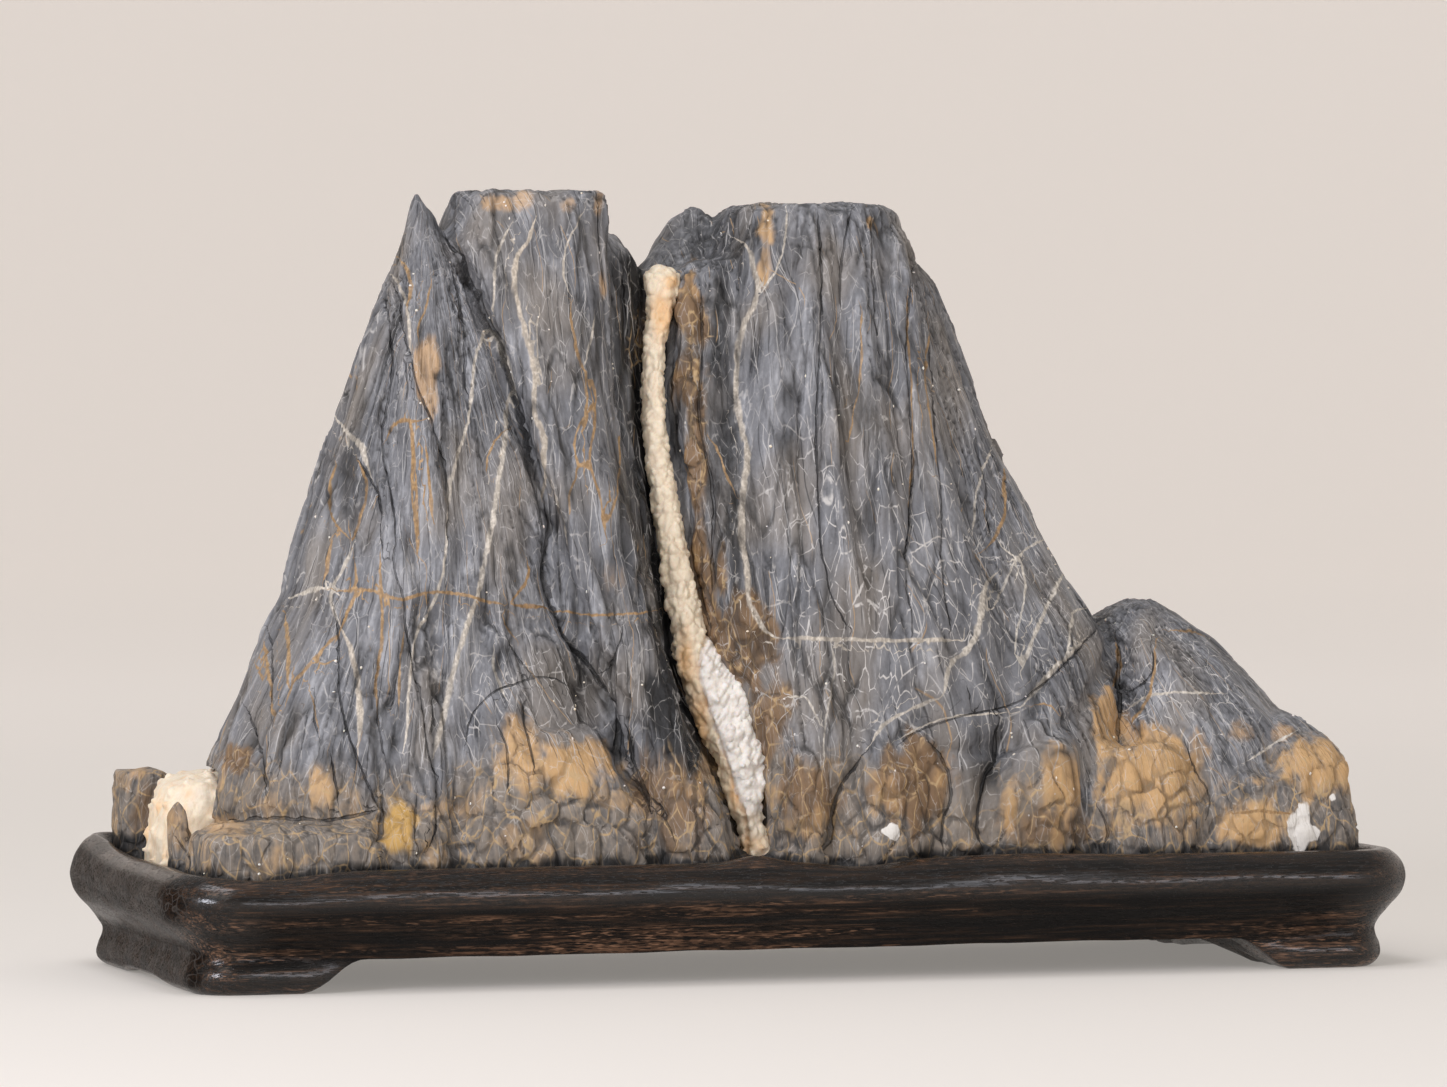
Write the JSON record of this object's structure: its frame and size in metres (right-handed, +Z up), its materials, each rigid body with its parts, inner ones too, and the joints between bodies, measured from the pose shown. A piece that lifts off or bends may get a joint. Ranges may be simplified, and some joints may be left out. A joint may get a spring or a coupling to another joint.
{
  "type": "scholars rock on a carved wooden stand",
  "caption": "Layered mountain-shaped viewing stone with a pale calcite waterfall, seated in its carved dark wooden stand.",
  "frame": {"origin": "the middle of the stand's underside, on the surface that it stands on", "axes": "+X along the length, to the right as seen from the front; -Y is the front, with the waterfall; +Z up"},
  "size_m": [0.35, 0.14, 0.2118],
  "materials": {
    "stone": "weathered layered limestone, dark blue-grey, ochre and brown near the foot",
    "calcite": "rough cream calcite, stained orange and white in places",
    "stand_wood": "near-black carved hardwood, open pored, waxed semi-gloss"
  },
  "bodies": {
    "root": {"stone": "stone", "waterfall_vein": "calcite", "left_calcite_pocket": "calcite", "stand": "stand_wood"}
  },
  "joints": []
}
